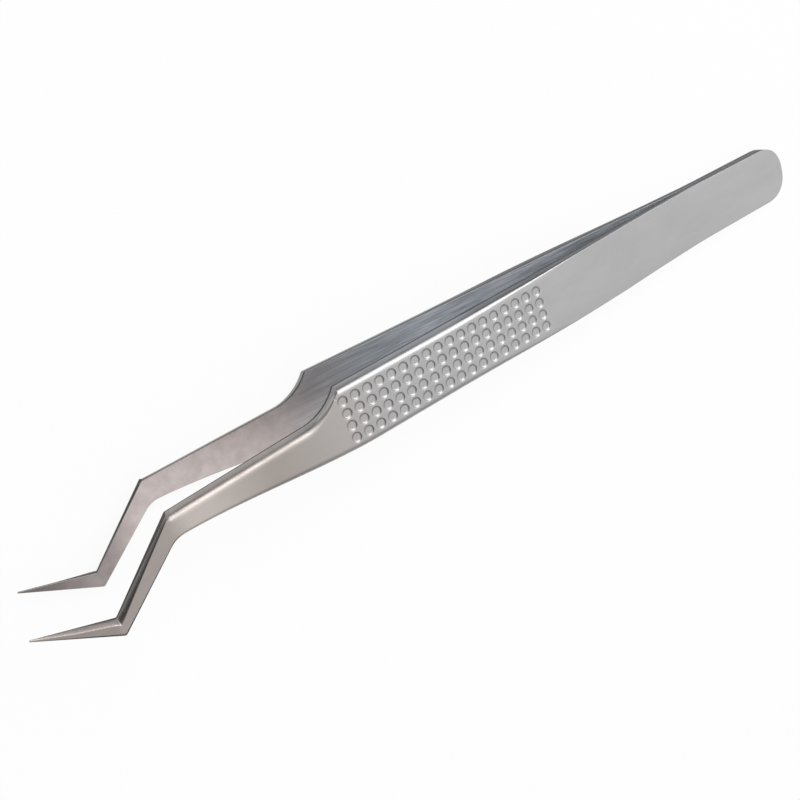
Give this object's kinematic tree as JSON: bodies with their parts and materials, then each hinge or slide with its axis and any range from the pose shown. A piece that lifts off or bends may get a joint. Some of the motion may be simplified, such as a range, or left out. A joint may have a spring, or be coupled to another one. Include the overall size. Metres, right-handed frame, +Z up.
{
  "type": "curved tweezers",
  "caption": "Double-bent fine-point tweezers: two mirrored steel spring arms welded at the butt, with dimpled grips, stepped shoulders, slim necks and needle tips.",
  "frame": {"origin": "bottom centre of the bounding box, on the table that the tweezers lie on", "axes": "+X from the butt to the needle tips, +Y towards the side that the heel bends to, +Z up from the table"},
  "size_m": [0.1414, 0.016, 0.019],
  "materials": {
    "satin_steel": "satin, finely brushed",
    "weld_steel": "fused"
  },
  "bodies": {
    "butt": {"front_tang": "satin_steel", "rear_tang": "satin_steel", "spot_welds": "weld_steel"},
    "front": {"front_arm": "satin_steel"},
    "rear": {"rear_arm": "satin_steel"}
  },
  "joints": [
    {"name": "front_flex", "type": "hinge", "parent": "butt", "child": "front", "pos_m": [-0.05083, -0.00304, 0.00242], "axis": [0, 1, 0], "range_deg": [0, 3.61], "stiffness_Nm_per_rad": 1.8},
    {"name": "rear_flex", "type": "hinge", "parent": "butt", "child": "rear", "pos_m": [-0.05083, -0.00304, 0.00242], "axis": [0, -1, 0], "range_deg": [0, 3.61], "stiffness_Nm_per_rad": 1.8}
  ],
  "couplings": [
    {"joint": "rear_flex", "follows": "front_flex", "ratio": 1}
  ]
}
